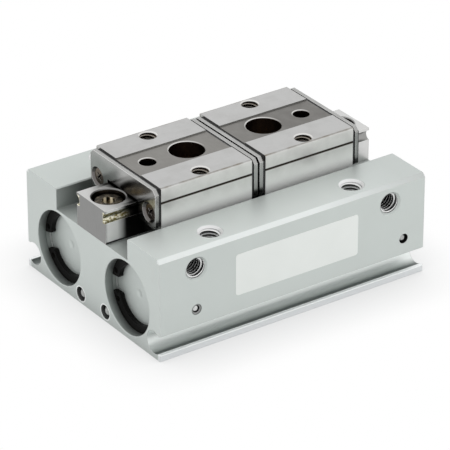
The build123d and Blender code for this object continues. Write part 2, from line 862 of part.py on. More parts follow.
def make_pinion():
    """Toothed disc with a long hub that runs up to the underside of the rail."""
    low = bore_height - gear_width / 2
    hub_length = channel_floor - pinion_end_clearance - low
    teeth = Pos(0, 0, low) * extrude(pinion_outline(), gear_width)
    hub = Pos(0, 0, low) * Cylinder(pinion_hub_diameter / 2, hub_length, align=BASE)
    bore_radius = pinion_pin_diameter / 2 + pinion_running_clearance
    return teeth + hub - Pos(0, 0, low) * Cylinder(bore_radius, hub_length, align=BASE)


def make_pinion_pin():
    low = pinion_floor - pinion_pin_seat
    pin = Pos(0, 0, low) * Cylinder(pinion_pin_diameter / 2, channel_floor - low, align=BASE)
    return chamfer(pin.edges().filter_by(GeomType.CIRCLE), inner_edge_chamfer)


# Assembly


def side_parts():
    """Every piece that belongs to the right finger, keyed by its name without the side."""
    seals = seal_starts()
    return {
        "finger": make_finger(),
        "inner_end_plate": make_end_plate(True),
        "outer_end_plate": make_end_plate(False),
        "inner_end_seal": make_end_seal(True),
        "outer_end_seal": make_end_seal(False),
        "end_plate_screws": make_plate_screws(),
        "bearing_balls": make_balls(),
        "joint": make_joint(),
        "joint_rollers": make_rollers(),
        "roller_stopper": make_stopper(),
        "piston": make_piston(),
        "inner_piston_seal": make_piston_seal(seals[0]),
        "outer_piston_seal": make_piston_seal(seals[1]),
        "magnet": make_magnet(),
        "rack": make_rack(),
        "rack_pins": make_rack_pins(),
    }


def block_parts():
    parts = {
        "body": make_body(),
        "guide_rail": make_rail(),
        "rail_screws": make_rail_screws(),
        "plug_balls": make_plug_balls(),
        "pinion": make_pinion(),
        "pinion_pin": make_pinion_pin(),
    }
    cap, gasket, ring = make_cap(), make_gasket(), make_retaining_ring()
    for row, side, ring_turn in (("near", -1, near_ring_turn), ("far", 1, far_ring_turn)):
        for end, turn in (("left", Rot(0, 180, 0)), ("right", Rot(0, 0, 0))):
            parts[f"{row}_{end}_cap"] = in_bore(turn * cap, side)
            parts[f"{row}_{end}_gasket"] = in_bore(turn * gasket, side)
            parts[f"{row}_{end}_retaining_ring"] = in_bore(Rot(-ring_turn, 0, 0) * turn * ring, side)
    return parts


def main():
    os.makedirs("parts", exist_ok=True)
    parts = block_parts()
    for name, shape in side_parts().items():
        parts[f"right_{name}"] = shape
        parts[f"left_{name}"] = HALF_TURN * shape
    for name, shape in parts.items():
        shape.label = name
        export_step(shape, f"parts/{name}.step")


main()
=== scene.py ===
import json
import math

import bpy
from mathutils import Matrix, Vector


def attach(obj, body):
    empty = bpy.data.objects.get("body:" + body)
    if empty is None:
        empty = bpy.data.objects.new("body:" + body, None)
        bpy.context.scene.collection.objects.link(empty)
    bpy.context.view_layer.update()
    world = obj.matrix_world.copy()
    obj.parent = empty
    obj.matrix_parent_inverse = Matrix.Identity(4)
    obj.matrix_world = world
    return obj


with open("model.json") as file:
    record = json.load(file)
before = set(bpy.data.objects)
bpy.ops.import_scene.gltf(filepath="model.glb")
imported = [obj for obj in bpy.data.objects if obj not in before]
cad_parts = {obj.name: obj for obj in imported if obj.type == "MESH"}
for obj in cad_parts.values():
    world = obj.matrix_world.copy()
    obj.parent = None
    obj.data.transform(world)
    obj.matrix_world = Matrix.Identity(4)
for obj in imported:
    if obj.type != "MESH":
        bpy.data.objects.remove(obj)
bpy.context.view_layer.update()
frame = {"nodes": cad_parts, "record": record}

# Looks of the closed gripper: camera, studio, materials, thread ridges, a staked rim and the blank label.
# Blender works in metres in the CAD frame. Lengths below are in millimetres, which MM turns into metres.
# The camera's clipping and the studio's places and sizes are in metres. Colours are linear.
# far_x and far_y are x and y without their signs, for what is alike at both ends or on both sides.
MM = 0.001

# Places on the solids
BLOCK_SIDE = 28.0
BLOCK_TOP = 26.0
FINGER_TOP = 35.0
PORT = (27.4, 21.0)  # x, z
TOP_HOLE = (20.0, 22.6)  # x, y
FOOT_HOLE_X = 20.0
PASSAGE = (5.2, 2.45)  # y, z
LEFT_SIDE_PLUG = (-27.4, 10.5)  # x, z
RIGHT_SIDE_PLUG = (31.6, 10.5)  # x, z
BORE = (14.4, 10.5)  # y, z
SENSOR_GROOVE = (25.5, 4.05)  # y, z
PLATE_SCREW = (10.7, 28.3)  # y, z
ACCESS_HOLE = (10.9, 0.0)  # x, y
DOWEL_HOLE = (21.8, 0.0)  # x, y
FINGER_THREAD = (14.525, 10.8)  # x, y
OUTER_RAIL_SCREW = (32.7, 0.0)  # x, y

# Radius and pitch of the threads
M4 = (2.0, 0.7)
M5 = (2.5, 0.8)


def millimetres(*values):
    return Vector(values) * MM


# Camera


def add_camera():
    """The photograph's camera, found by matching the block's corners."""
    azimuth, elevation, roll = (math.radians(angle) for angle in (-34.8085, 28.2114, -0.0235))
    back = Vector((
        math.sin(azimuth) * math.cos(elevation),
        -math.cos(azimuth) * math.cos(elevation),
        math.sin(elevation),
    ))
    level = Vector((math.cos(azimuth), math.sin(azimuth), 0))
    upright = back.cross(level)
    right = level * math.cos(roll) + upright * math.sin(roll)
    up = upright * math.cos(roll) - level * math.sin(roll)
    data = bpy.data.cameras.new("camera")
    data.sensor_width = 36
    data.lens = 275.965
    data.clip_start = 0.05
    data.clip_end = 20
    camera = bpy.data.objects.new("camera", data)
    location = millimetres(-410.53, -590.30, 397.22)
    turn = Matrix((right, up, back)).transposed().to_4x4()
    camera.matrix_world = Matrix.Translation(location) @ turn
    bpy.context.scene.collection.objects.link(camera)
    bpy.context.scene.camera = camera


# Node helpers


def new_tree(name):
    """An empty material and its node tree."""
    material = bpy.data.materials.new(name)
    material.use_nodes = True
    material.node_tree.nodes.clear()
    return material, material.node_tree


def node(tree, kind, settings=None, inputs=None):
    """Adds a node; an input is a value, or a socket to link from."""
    made = tree.nodes.new(kind)
    for key, value in (settings or {}).items():
        setattr(made, key, value)
    for key, value in (inputs or {}).items():
        if isinstance(value, bpy.types.NodeSocket):
            tree.links.new(value, made.inputs[key])
        else:
            made.inputs[key].default_value = value
    return made


def maths(tree, operation, *values, clamp=False):
    settings = {"operation": operation, "use_clamp": clamp}
    return node(tree, "ShaderNodeMath", settings, dict(enumerate(values))).outputs[0]


def all_of(tree, first, *others):
    """Product of masks and amounts."""
    for other in others:
        first = maths(tree, "MULTIPLY", first, other)
    return first


def any_of(tree, first, *others):
    """The strongest of several masks."""
    for other in others:
        first = maths(tree, "MAXIMUM", first, other)
    return first


def less(tree, mask, amount=1.0):
    """1 where the mask is 0, and lower by the amount where it is 1."""
    return maths(tree, "SUBTRACT", 1.0, all_of(tree, mask, amount))


def mixed(tree, factor, first, second):
    """First colour where factor is 0, second where it is 1."""
    made = node(tree, "ShaderNodeMix", {"data_type": "RGBA"}, {"Factor": factor})
    for socket, value in ((made.inputs[6], first), (made.inputs[7], second)):
        if isinstance(value, bpy.types.NodeSocket):
            tree.links.new(value, socket)
        else:
            socket.default_value = (*value, 1)
    return made.outputs[2]


def painted(tree, base, colour, *masks):
    """The base with a colour laid over it where all the masks are 1."""
    return mixed(tree, all_of(tree, *masks), base, colour)


def ramp(tree, value, start, end, low=0.0, high=1.0):
    """Goes from low where the value is start to high where it is end, and is level beyond them."""
    inputs = {"Value": value, "From Min": start, "From Max": end, "To Min": low, "To Max": high}
    return node(tree, "ShaderNodeMapRange", None, inputs).outputs[0]


def remapped(tree, value, low, high):
    """Spreads a 0 to 1 value between low and high."""
    return ramp(tree, value, 0.0, 1.0, low, high)


def patches(tree, pattern, low, high, amount):
    """Mask of a pattern's strong places: it is spread from low to high and kept within 0 and 1."""
    return maths(tree, "MULTIPLY", remapped(tree, pattern, low, high), amount, clamp=True)


def place(tree, stretch=(1, 1, 1)):
    """Object coordinates in millimetres, stretched by axis."""
    source = node(tree, "ShaderNodeTexCoord").outputs["Object"]
    scale = tuple(s / MM for s in stretch)
    return node(tree, "ShaderNodeMapping", None, {"Vector": source, "Scale": scale}).outputs[0]


def split(tree, position):
    """The x, y and z of a position."""
    return node(tree, "ShaderNodeSeparateXYZ", None, {0: position}).outputs


def absolute(tree, value):
    return maths(tree, "ABSOLUTE", value)


def flat_normal(tree):
    return node(tree, "ShaderNodeNewGeometry").outputs["Normal"]


def noise(tree, position, scale, detail):
    inputs = {"Vector": position, "Scale": scale, "Detail": detail}
    return node(tree, "ShaderNodeTexNoise", None, inputs).outputs["Fac"]


def inside(tree, value, low, high, soft=0.03):
    """1 where the value lies between low and high, 0 elsewhere, with a soft edge."""
    above = ramp(tree, value, low - soft, low + soft)
    below = ramp(tree, value, high + soft, high - soft)
    return all_of(tree, above, below)


def disc(tree, first, second, centre, radius, soft=0.03):
    """1 within a radius of a centre in the plane of two coordinates."""
    squares = [
        maths(tree, "POWER", maths(tree, "SUBTRACT", value, middle), 2.0)
        for value, middle in zip((first, second), centre)
    ]
    distance = maths(tree, "SQRT", maths(tree, "ADD", *squares))
    return inside(tree, distance, -1.0, radius, soft)


def edges(tree, radius, gain):
    """Mask of the sharp edges, and the normal that rounds them."""
    bevel = node(tree, "ShaderNodeBevel", {"samples": 4}, {"Radius": radius * MM}).outputs[0]
    inputs = {0: bevel, 1: flat_normal(tree)}
    dot = node(tree, "ShaderNodeVectorMath", {"operation": "DOT_PRODUCT"}, inputs)
    return maths(tree, "MULTIPLY", less(tree, dot.outputs["Value"]), gain, clamp=True), bevel


def closed_in(tree, reach, samples):
    """How far nearby surfaces close a point in, from 0 to 1."""
    inputs = {"Distance": reach * MM}
    return less(tree, node(tree, "ShaderNodeAmbientOcclusion", {"samples": samples}, inputs).outputs["AO"])


def shaded(tree, colour, depth, reach):
    """Darkens the colour where nearby surfaces close it in."""
    falloff = 1.6
    darkest = (0.015, 0.014, 0.012)
    closed = maths(tree, "POWER", closed_in(tree, reach, samples=6), falloff)
    return mixed(tree, maths(tree, "MULTIPLY", closed, depth, clamp=True), colour, darkest)


def finish_surface(tree, colour, roughness, height, bump, normal, settings, depth=1.0, reach=4.0):
    """Crevice shading, bump, shader and output of a material; bump is its strength and its height."""
    colour = shaded(tree, colour, depth, reach)
    relief = {"Height": height, "Strength": bump[0], "Distance": bump[1] * MM, "Normal": normal}
    made = node(tree, "ShaderNodeBump", None, relief).outputs[0]
    inputs = {"Base Color": colour, "Roughness": roughness, "Normal": made}
    inputs.update(settings)
    shader = node(tree, "ShaderNodeBsdfPrincipled", None, inputs).outputs[0]
    node(tree, "ShaderNodeOutputMaterial", None, {"Surface": shader})


# Materials


def block_painted_light(tree, position, base):
    """Paints light and shade onto the block's colour, and masks the places that take no crevice shading."""
    x, y, z = split(tree, position)
    far_x = absolute(tree, x)
    far_y = absolute(tree, y)

    # Painted highlight on the metal staked over the passages' plugs of the left end, and painted shade in
    # the gap round the side plug
    staked_highlight = all_of(tree, disc(tree, far_y, z, PASSAGE, 2.1, 0.1), inside(tree, x, -38.0, -37.4))
    base = painted(tree, base, (0.93, 0.95, 0.94), staked_highlight)
    outer = disc(tree, x, z, LEFT_SIDE_PLUG, 1.36, 0.05)
    inner = disc(tree, x, z, LEFT_SIDE_PLUG, 1.14, 0.05)
    gap_shade = maths(tree, "SUBTRACT", outer, inner)
    base = painted(tree, base, (0.1, 0.11, 0.105), gap_shade, inside(tree, y, -28.1, -27.85), 0.85)

    # Painted shade on the walls of the holes, and a painted highlight in the top holes' countersinks: two
    # coordinates, centre, radius, the third coordinate, its span and the tone
    painted_hole_walls = (
        (far_x, z, PORT, 2.56, far_y, (18.0, 27.5), 0.03),
        (far_x, far_y, TOP_HOLE, 3.2, z, (25.1, 25.93), 0.82),
        (far_x, far_y, TOP_HOLE, 2.56, z, (17.0, 25.1), 0.1),
        (far_y, z, PASSAGE, 1.86, far_x, (30.0, 37.4), 0.3),
        (x, z, LEFT_SIDE_PLUG, 1.3, far_y, (20.0, 27.9), 0.3),
        (x, z, RIGHT_SIDE_PLUG, 1.3, far_y, (20.0, 27.9), 0.03),
    )
    for first, second, centre, radius, along, span, tone in painted_hole_walls:
        painted_wall = all_of(tree, disc(tree, first, second, centre, radius), inside(tree, along, *span))
        base = painted(tree, base, (tone, tone, tone), painted_wall)

    # Painted shade on the bore walls, deeper towards the caps
    bore_shade = all_of(tree, disc(tree, far_y, z, BORE, 9.5), inside(tree, far_x, 34.05, 37.4))
    base = painted(tree, base, (0.12, 0.135, 0.13), bore_shade, ramp(tree, far_x, 37.4, 35.3, 0.1, 0.8))

    # Painted light on the top of the near wall and on the chamfers of both walls, brighter on the left and
    # duller to the right
    near_top = all_of(tree, inside(tree, z, 25.95, 26.1), inside(tree, y, -28.1, -14.0))
    top_light = mixed(tree, ramp(tree, x, 12.0, 32.0), (0.66, 0.70, 0.68), (0.56, 0.595, 0.578))
    base = painted(tree, base, top_light, near_top)
    chamfer = all_of(tree, inside(tree, far_y, 27.08, 28.1), inside(tree, z, 25.08, 26.1))
    chamfer_light = mixed(tree, ramp(tree, x, 5.0, 37.0), (0.81, 0.84, 0.83), (0.51, 0.53, 0.52))
    base = painted(tree, base, chamfer_light, chamfer, 0.8)

    # Sensor groove with painted light at its back and painted shade at its mouth, and the flange under it
    # painted paler, with a painted highlight along its edge
    groove = all_of(tree, disc(tree, far_y, z, SENSOR_GROOVE, 2.98, 0.02), inside(tree, far_x, -1.0, 37.42))
    groove_light_and_shade = mixed(tree, ramp(tree, far_y, 23.7, 25.7), (0.88, 0.92, 0.90), (0.13, 0.148, 0.142))
    base = painted(tree, base, groove_light_and_shade, groove)
    flange = all_of(tree, inside(tree, far_y, 27.2, 28.1), inside(tree, z, -0.1, 1.75))
    base = painted(tree, base, (0.74, 0.76, 0.77), flange)
    base = painted(tree, base, (0.95, 0.97, 0.97), flange, inside(tree, z, 1.42, 1.8, 0.08))

    # Painted shade on the walls of the channel, darker beside the fingers
    cheek_shade = all_of(tree, inside(tree, far_y, 13.4, 15.06, 0.02), inside(tree, z, 20.6, 25.7, 0.2))
    base = painted(tree, base, (0.16, 0.18, 0.175), cheek_shade, ramp(tree, far_x, 37.5, 30.0, 0.15, 0.8))

    low_side = all_of(tree, ramp(tree, z, 10.0, 0.0), inside(tree, far_y, 26.9, 28.3))
    open_wall = all_of(tree, disc(tree, far_x, far_y, TOP_HOLE, 3.3), inside(tree, z, 25.1, 25.97, 0.1))
    return base, any_of(tree, groove, flange, low_side, open_wall)


def satin_aluminium(name, colour, edge_highlight, metallic, rough, with_painted_light=False):
    """Etched and anodised aluminium: fine grain, faint cloudiness, a painted highlight on the edges."""
    material, tree = new_tree(name)
    position = place(tree)
    cloud = noise(tree, position, 0.09, 2.0)
    grain = noise(tree, position, 6.0, 4.0)
    dark = tuple(c * 0.955 for c in colour)
    light = tuple(min(1, c * 1.035) for c in colour)
    base = mixed(tree, remapped(tree, cloud, 0.1, 0.9), dark, light)
    base = painted(tree, base, tuple(c * 0.9 for c in colour), remapped(tree, grain, -0.1, 0.25))
    # Painted highlight on the edges
    edge, normal = edges(tree, 0.22, 2.2)
    base = painted(tree, base, edge_highlight, edge)
    depth = 0.7
    if with_painted_light:
        base, unshaded = block_painted_light(tree, position, base)
        depth = all_of(tree, less(tree, unshaded), depth)
    roughness = remapped(tree, grain, *rough)
    finish_surface(tree, base, roughness, grain, (0.1, 0.02), normal, {"Metallic": metallic}, depth, 8.0)
    return material


def ground_metal(name, colour, rough, along="Z", edge_gain=1.6, warm=None, depth=1.0, reach=4.0):
    """Ground metal with fine lines along one axis, a little staining and a painted highlight on the edges.
    """
    material, tree = new_tree(name)
    stretch = tuple(0.03 if axis == along else 1.0 for axis in "XYZ")
    lines = noise(tree, place(tree, stretch), 9.0, 5.0)
    stain = noise(tree, place(tree), 0.22, 5.0)
    pale = tuple(min(1, c * 1.08) for c in colour)
    base = mixed(tree, lines, tuple(c * 0.9 for c in colour), pale)
    spots = patches(tree, stain, -0.5, 0.9, 0.3)
    base = painted(tree, base, warm or tuple(c * 0.8 for c in colour), spots)
    # Painted highlight on the edges
    edge, normal = edges(tree, 0.16, edge_gain)
    base = painted(tree, base, (0.93, 0.93, 0.91), edge)
    roughness = remapped(tree, lines, *rough)
    finish_surface(tree, base, roughness, lines, (0.12, 0.01), normal, {"Metallic": 1.0}, depth, reach)
    return material


def finger_steel():
    """Ground steel: raised bands, a darker strip between them with painted shade to the right, stained rims,
    bright sides with painted light at their foot, painted highlights on edges and hole lips, painted shade
    in the holes and the side groove.
    """
    material, tree = new_tree("finger_steel")
    position = place(tree)
    x, y, z = split(tree, position)
    far_x = absolute(tree, x)
    far_y = absolute(tree, y)
    lines = noise(tree, place(tree, (0.03, 1, 1)), 9.0, 5.0)
    cross_lines = noise(tree, place(tree, (1, 0.04, 1)), 7.0, 4.0)
    stain = noise(tree, position, 0.3, 6.0)

    band = mixed(tree, lines, (0.48, 0.48, 0.475), (0.58, 0.58, 0.575))
    base = mixed(tree, lines, (0.60, 0.60, 0.585), (0.74, 0.74, 0.725))
    base = painted(tree, base, band, inside(tree, z, 34.9, 35.1, 0.05))
    strip_tone_and_shade = mixed(tree, cross_lines, (0.205, 0.198, 0.184), (0.28, 0.272, 0.256))
    # Painted shade on the strip, darker to the right
    strip_tone_and_shade = mixed(tree, ramp(tree, x, -5.0, 12.0, 0.0, 0.5), strip_tone_and_shade, (0.1, 0.095, 0.09))
    strip = all_of(tree, inside(tree, y, -5.25, 5.25, 0.02), inside(tree, z, 29.4, 34.8, 0.02))
    base = painted(tree, base, strip_tone_and_shade, strip)
    base = painted(tree, base, (0.72, 0.72, 0.70), inside(tree, far_y, 13.3, 14.0, 0.1))
    base = painted(tree, base, (0.34, 0.335, 0.32), patches(tree, stain, -1.2, 1.6, 0.28))

    # Rims along the bands, darker and stained, a painted highlight on the edges, and painted shade in the
    # thin groove along each side
    rim = inside(tree, far_y, 13.05, 13.4, 0.1)
    base = painted(tree, base, (0.3, 0.3, 0.29), rim, 0.45)
    base = painted(tree, base, (0.22, 0.19, 0.15), patches(tree, stain, -1.1, 2.0, rim))
    edge, normal = edges(tree, 0.1, 0.8)
    base = painted(tree, base, (0.7, 0.7, 0.68), edge)
    groove = all_of(tree, inside(tree, far_y, 13.1, 13.6, 0.02), inside(tree, z, 30.98, 31.58, 0.06))
    base = painted(tree, base, (0.05, 0.042, 0.036), groove)

    # Holes with painted shade on their walls, mottled brown, and a painted highlight on their lips, in the
    # holes on the centre line only on the far half
    inner = mixed(tree, stain, (0.025, 0.017, 0.012), (0.19, 0.125, 0.085))
    depths = inside(tree, z, 28.0, 34.55)
    holes = ((ACCESS_HOLE, 4.26, y), (DOWEL_HOLE, 2.02, y), (FINGER_THREAD, 2.02, far_y))
    for centre, radius, across in holes:
        lip_highlight = all_of(tree, disc(tree, far_x, across, centre, radius + 0.26, 0.05), 0.75)
        if centre[1] == 0.0:
            lip_highlight = all_of(tree, lip_highlight, ramp(tree, y, -radius * 0.3, radius * 0.9))
        base = painted(tree, base, (0.85, 0.84, 0.82), lip_highlight)
        base = painted(tree, base, inner, disc(tree, far_x, across, centre, radius, 0.01), depths)

    # Painted light on the sides: paler and less metallic towards their foot
    side = inside(tree, far_y, 13.3, 14.0, 0.05)
    low = all_of(tree, side, ramp(tree, z, 30.5, 26.5))
    base = painted(tree, base, (0.90, 0.91, 0.89), low)
    roughness = remapped(tree, lines, 0.26, 0.4)
    settings = {"Metallic": less(tree, low, 0.75)}
    finish_surface(tree, base, roughness, lines, (0.12, 0.01), normal, settings, less(tree, side, 0.85))
    return material


def rail_steel():
    """Ground rail steel, with painted brassy reflections in the left end's ball grooves, painted light on
    its top and ends, painted shade in the screw holes, beside the fingers and along the left end's foot, and
    painted highlights on its edges.
    """
    material, tree = new_tree("rail_steel")
    position = place(tree)
    x, y, z = split(tree, position)
    far_x = absolute(tree, x)
    far_y = absolute(tree, y)
    top = inside(tree, z, 28.97, 29.1, 0.01)
    side = inside(tree, far_y, 5.985, 6.1, 0.01)
    groove = inside(tree, far_y, 4.9, 5.985, 0.01)
    lines = noise(tree, place(tree, (1, 1, 0.03)), 8.0, 5.0)
    stain = noise(tree, position, 0.35, 5.0)

    # Steel with stains, and painted light and shade that make it paler to the right and darker to the left
    left = mixed(tree, lines, (0.2, 0.2, 0.197), (0.3, 0.3, 0.295))
    right = mixed(tree, lines, (0.33, 0.33, 0.325), (0.45, 0.45, 0.44))
    base = mixed(tree, ramp(tree, x, -20.0, 20.0), left, right)
    base = painted(tree, base, (0.27, 0.27, 0.262), patches(tree, stain, -1.0, 1.5, 0.3))

    # Painted streaky brassy reflections in the left end's ball grooves
    streaks = ramp(tree, noise(tree, place(tree, (1.1, 1, 2.2)), 1.3, 2.0), 0.4, 0.6)
    painted_reflection = mixed(tree, streaks, (0.25, 0.21, 0.07), (0.97, 0.95, 0.78))
    reflecting_grooves = all_of(tree, groove, inside(tree, z, 25.7, 28.4, 0.02), inside(tree, x, -40.0, -24.0, 1.0))
    base = painted(tree, base, painted_reflection, reflecting_grooves)

    # Painted light on the top and the ends, and brown painted shade in the counterbores
    lit_ends = all_of(tree, side, inside(tree, far_x, 30.0, 37.4))
    pale = any_of(tree, inside(tree, z, 28.97, 29.1), lit_ends)
    base = painted(tree, base, (0.85, 0.85, 0.84), pale, 0.6)
    counterbore_shade = disc(tree, far_x, y, OUTER_RAIL_SCREW, 4.15, 0.02)
    base = painted(tree, base, (0.13, 0.1, 0.08), counterbore_shade, inside(tree, z, 22.0, 28.55, 0.15), 0.8)

    # Painted light on the left end's flank, and a painted shadow line along the left end's foot
    left_side = all_of(tree, side, inside(tree, x, -37.4, -26.0))
    lit_flank = all_of(tree, left_side, inside(tree, far_x, 32.0, 37.4, 0.6))
    base = painted(tree, base, (0.97, 0.98, 0.96), lit_flank)
    base = painted(tree, base, (0.01, 0.01, 0.01), left_side, inside(tree, z, 20.0, 20.95, 0.05))

    # Shade beside the closed fingers: a face, how far out it reaches and how softly it ends
    for face, reach, soft in ((side, 33.0, 1.2), (groove, 31.4, 1.2), (top, 29.9, 0.9)):
        base = painted(tree, base, (0.02, 0.019, 0.018), face, inside(tree, far_x, 26.0, reach, soft))
    # Painted highlight on the edges
    edge, normal = edges(tree, 0.16, 1.7)
    base = painted(tree, base, (0.92, 0.92, 0.9), edge)
    roughness = remapped(tree, lines, 0.26, 0.4)
    settings = {"Metallic": less(tree, lit_flank, 0.8)}
    finish_surface(tree, base, roughness, lines, (0.14, 0.012), normal, settings, less(tree, lit_flank, 0.7))
    return material


def rail_screw_steel():
    """Dark oiled screws, with a painted brassy glint in their sockets and painted highlights on their edges.
    """
    material, tree = new_tree("rail_screw_steel")
    position = place(tree)
    x, y, _ = split(tree, position)
    # Painted brassy glint in the sockets, round each screw's axis
    pair_middle, pair_half = 21.8, 10.9
    off_middle = maths(tree, "SUBTRACT", absolute(tree, x), pair_middle)
    off_axis = maths(tree, "SUBTRACT", absolute(tree, off_middle), pair_half)
    squared = maths(tree, "ADD", maths(tree, "POWER", off_axis, 2.0), maths(tree, "POWER", y, 2.0))
    socket = inside(tree, squared, -1.0, 2.4, 0.1)
    wear = ramp(tree, noise(tree, position, 1.2, 5.0), 0.35, 0.65)
    dark = mixed(tree, wear, (0.02, 0.016, 0.012), (0.2, 0.165, 0.12))
    base = painted(tree, dark, (1.0, 0.9, 0.7), socket)
    # Painted highlight on the edges
    edge, normal = edges(tree, 0.15, 1.4)
    base = painted(tree, base, (0.5, 0.45, 0.38), edge)
    roughness = remapped(tree, wear, 0.14, 0.3)
    settings = {"Metallic": less(tree, socket)}
    finish_surface(tree, base, roughness, wear, (0.15, 0.02), normal, settings, 0.1)
    return material


def plug_steel():
    """Pressed steel balls, with painted shade where they dip into their holes, and a painted highlight on
    the ball of the left side plug.
    """
    material, tree = new_tree("plug_steel")
    position = place(tree)
    x, y, _ = split(tree, position)
    far_x = absolute(tree, x)
    far_y = absolute(tree, y)
    crown = any_of(tree, inside(tree, far_x, 36.95, 37.6, 0.1), inside(tree, far_y, 27.35, 28.1, 0.1))
    pits = noise(tree, position, 1.1, 4.0)
    crown_colour = mixed(tree, pits, (0.18, 0.19, 0.18), (0.6, 0.61, 0.6))
    # Painted shade where the balls dip into their holes
    base = mixed(tree, crown, (0.03, 0.03, 0.03), crown_colour)
    # Painted highlight on the ball of the left side plug
    side_plug = all_of(tree, inside(tree, x, -29.0, -26.0), inside(tree, far_y, 26.0, 28.1))
    side_plug_highlight = mixed(tree, pits, (0.3, 0.31, 0.3), (0.95, 0.96, 0.95))
    base = painted(tree, base, side_plug_highlight, side_plug)
    roughness = remapped(tree, pits, 0.12, 0.3)
    finish_surface(tree, base, roughness, pits, (0.2, 0.03), flat_normal(tree), {"Metallic": 1.0}, 0.2)
    return material


def polished_sheet():
    """Polished stainless sheet with faint haze and hairline scratches."""
    material, tree = new_tree("polished_sheet")
    position = place(tree)
    x, y, z = split(tree, position)
    far_y = absolute(tree, y)
    haze = noise(tree, position, 0.25, 4.0)
    scratches = noise(tree, place(tree, (1, 0.05, 1)), 14.0, 3.0)
    base = mixed(tree, haze, (0.35, 0.35, 0.342), (0.48, 0.48, 0.47))
    # Painted highlight on the edges
    edge, normal = edges(tree, 0.25, 2.6)
    base = painted(tree, base, (0.95, 0.95, 0.94), edge)

    # Painted shade in the countersinks of the screws, and painted shade over the rail on the outer plates
    base = painted(tree, base, (0.16, 0.15, 0.145), disc(tree, far_y, z, PLATE_SCREW, 2.5, 0.06))
    over_rail = all_of(tree, inside(tree, y, -7.5, 5.0, 4.0), inside(tree, z, 20.0, 31.0, 2.5))
    outer_face = inside(tree, absolute(tree, x), 28.7, 30.0)
    base = painted(tree, base, (0.07, 0.068, 0.07), over_rail, outer_face, 0.85)

    # Painted shade on the right outer plate's rim, with a darker painted shade line along its outer side
    rim = all_of(tree, inside(tree, far_y, 13.3, 14.0, 0.1), inside(tree, x, 28.0, 28.8, 0.05))
    base = painted(tree, base, (0.3, 0.3, 0.3), rim, 0.5)
    base = painted(tree, base, (0.08, 0.08, 0.08), rim, inside(tree, x, 28.55, 28.8, 0.05))
    roughness = remapped(tree, haze, 0.13, 0.24)
    finish_surface(tree, base, roughness, scratches, (0.06, 0.006), normal, {"Metallic": 1.0})
    return material


def dark_finish(name, colour, worn, rough, grain_scale, metallic=0.0, sheen=0.5):
    """Black oxide, rubber, resin or magnet: fine grain, and lighter where it is rubbed."""
    material, tree = new_tree(name)
    grain = noise(tree, place(tree), grain_scale, 4.0)
    base = mixed(tree, remapped(tree, grain, 0.0, 0.8), colour, tuple(c * 1.5 for c in colour))
    edge, normal = edges(tree, 0.15, 1.0)
    base = painted(tree, base, worn, edge)
    roughness = remapped(tree, grain, *rough)
    settings = {"Metallic": metallic, "Specular IOR Level": sheen}
    finish_surface(tree, base, roughness, grain, (0.15, 0.02), normal, settings)
    return material


def label_film():
    """Pale printed-film stock, left blank."""
    material, tree = new_tree("label_film")
    fibre = noise(tree, place(tree), 3.0, 5.0)
    cloud = noise(tree, place(tree), 0.12, 2.0)
    base = mixed(tree, cloud, (0.80, 0.825, 0.80), (0.86, 0.88, 0.86))
    roughness = remapped(tree, fibre, 0.38, 0.5)
    settings = {"Metallic": 0.0, "Coat Weight": 0.15}
    finish_surface(tree, base, roughness, fibre, (0.06, 0.01), flat_normal(tree), settings)
    return material


def make_materials():
    """Materials for the slots of the record, for two nodes that share a slot, and for the added pieces."""
    materials = {
        "ground_steel": finger_steel(),
        "polished_plate": polished_sheet(),
        "rail_steel": rail_steel(),
        "rail_screw_steel": rail_screw_steel(),
        "plug_steel": plug_steel(),
        "label_film": label_film(),
    }
    satin = {
        "anodised_aluminium": {
            "colour": (0.59, 0.63, 0.61), "edge_highlight": (0.80, 0.82, 0.81), "metallic": 0.55,
            "rough": (0.36, 0.46), "with_painted_light": True,
        },
        "piston_aluminium": {
            "colour": (0.62, 0.64, 0.65), "edge_highlight": (0.85, 0.86, 0.86), "metallic": 0.8,
            "rough": (0.25, 0.35),
        },
    }
    dark = {
        "black_ring": {
            "colour": (0.004, 0.004, 0.004), "worn": (0.012, 0.012, 0.012), "rough": (0.38, 0.5),
            "grain_scale": 5.0, "sheen": 0.06,
        },
        "rubber_seal": {
            "colour": (0.012, 0.012, 0.013), "worn": (0.03, 0.03, 0.03), "rough": (0.55, 0.7),
            "grain_scale": 8.0,
        },
        "black_resin": {
            "colour": (0.01, 0.01, 0.011), "worn": (0.03, 0.03, 0.03), "rough": (0.35, 0.5),
            "grain_scale": 6.0,
        },
        "magnet": {
            "colour": (0.05, 0.05, 0.053), "worn": (0.2, 0.2, 0.2), "rough": (0.4, 0.55),
            "grain_scale": 4.0, "metallic": 0.7,
        },
    }
    ground = {
        "bearing_steel": {
            "colour": (0.8, 0.8, 0.79), "rough": (0.08, 0.14), "along": "X", "edge_gain": 0.5, "depth": 0.1,
        },
        "screw_steel": {
            "colour": (0.23, 0.185, 0.155), "rough": (0.16, 0.26), "warm": (0.3, 0.15, 0.1), "reach": 2.0,
        },
        "joint_steel": {"colour": (0.5, 0.5, 0.49), "rough": (0.25, 0.35)},
        "gear_steel": {"colour": (0.52, 0.52, 0.51), "rough": (0.25, 0.38)},
        "cut_steel": {
            "colour": (0.34, 0.31, 0.27), "rough": (0.2, 0.32), "edge_gain": 0.6, "reach": 1.5,
        },
        "cut_aluminium": {
            "colour": (0.93, 0.95, 0.94), "rough": (0.2, 0.32), "depth": 1.3, "reach": 3.2,
        },
        # A lit copy of cut_aluminium, with little crevice shade, for the top holes' threads
        "cut_aluminium_lit": {
            "colour": (0.95, 0.97, 0.96), "rough": (0.35, 0.45), "depth": 0.15, "reach": 1.0,
        },
    }
    for make, table in ((satin_aluminium, satin), (dark_finish, dark), (ground_metal, ground)):
        for name, settings in table.items():
            materials[name] = make(name, **settings)
    return materials


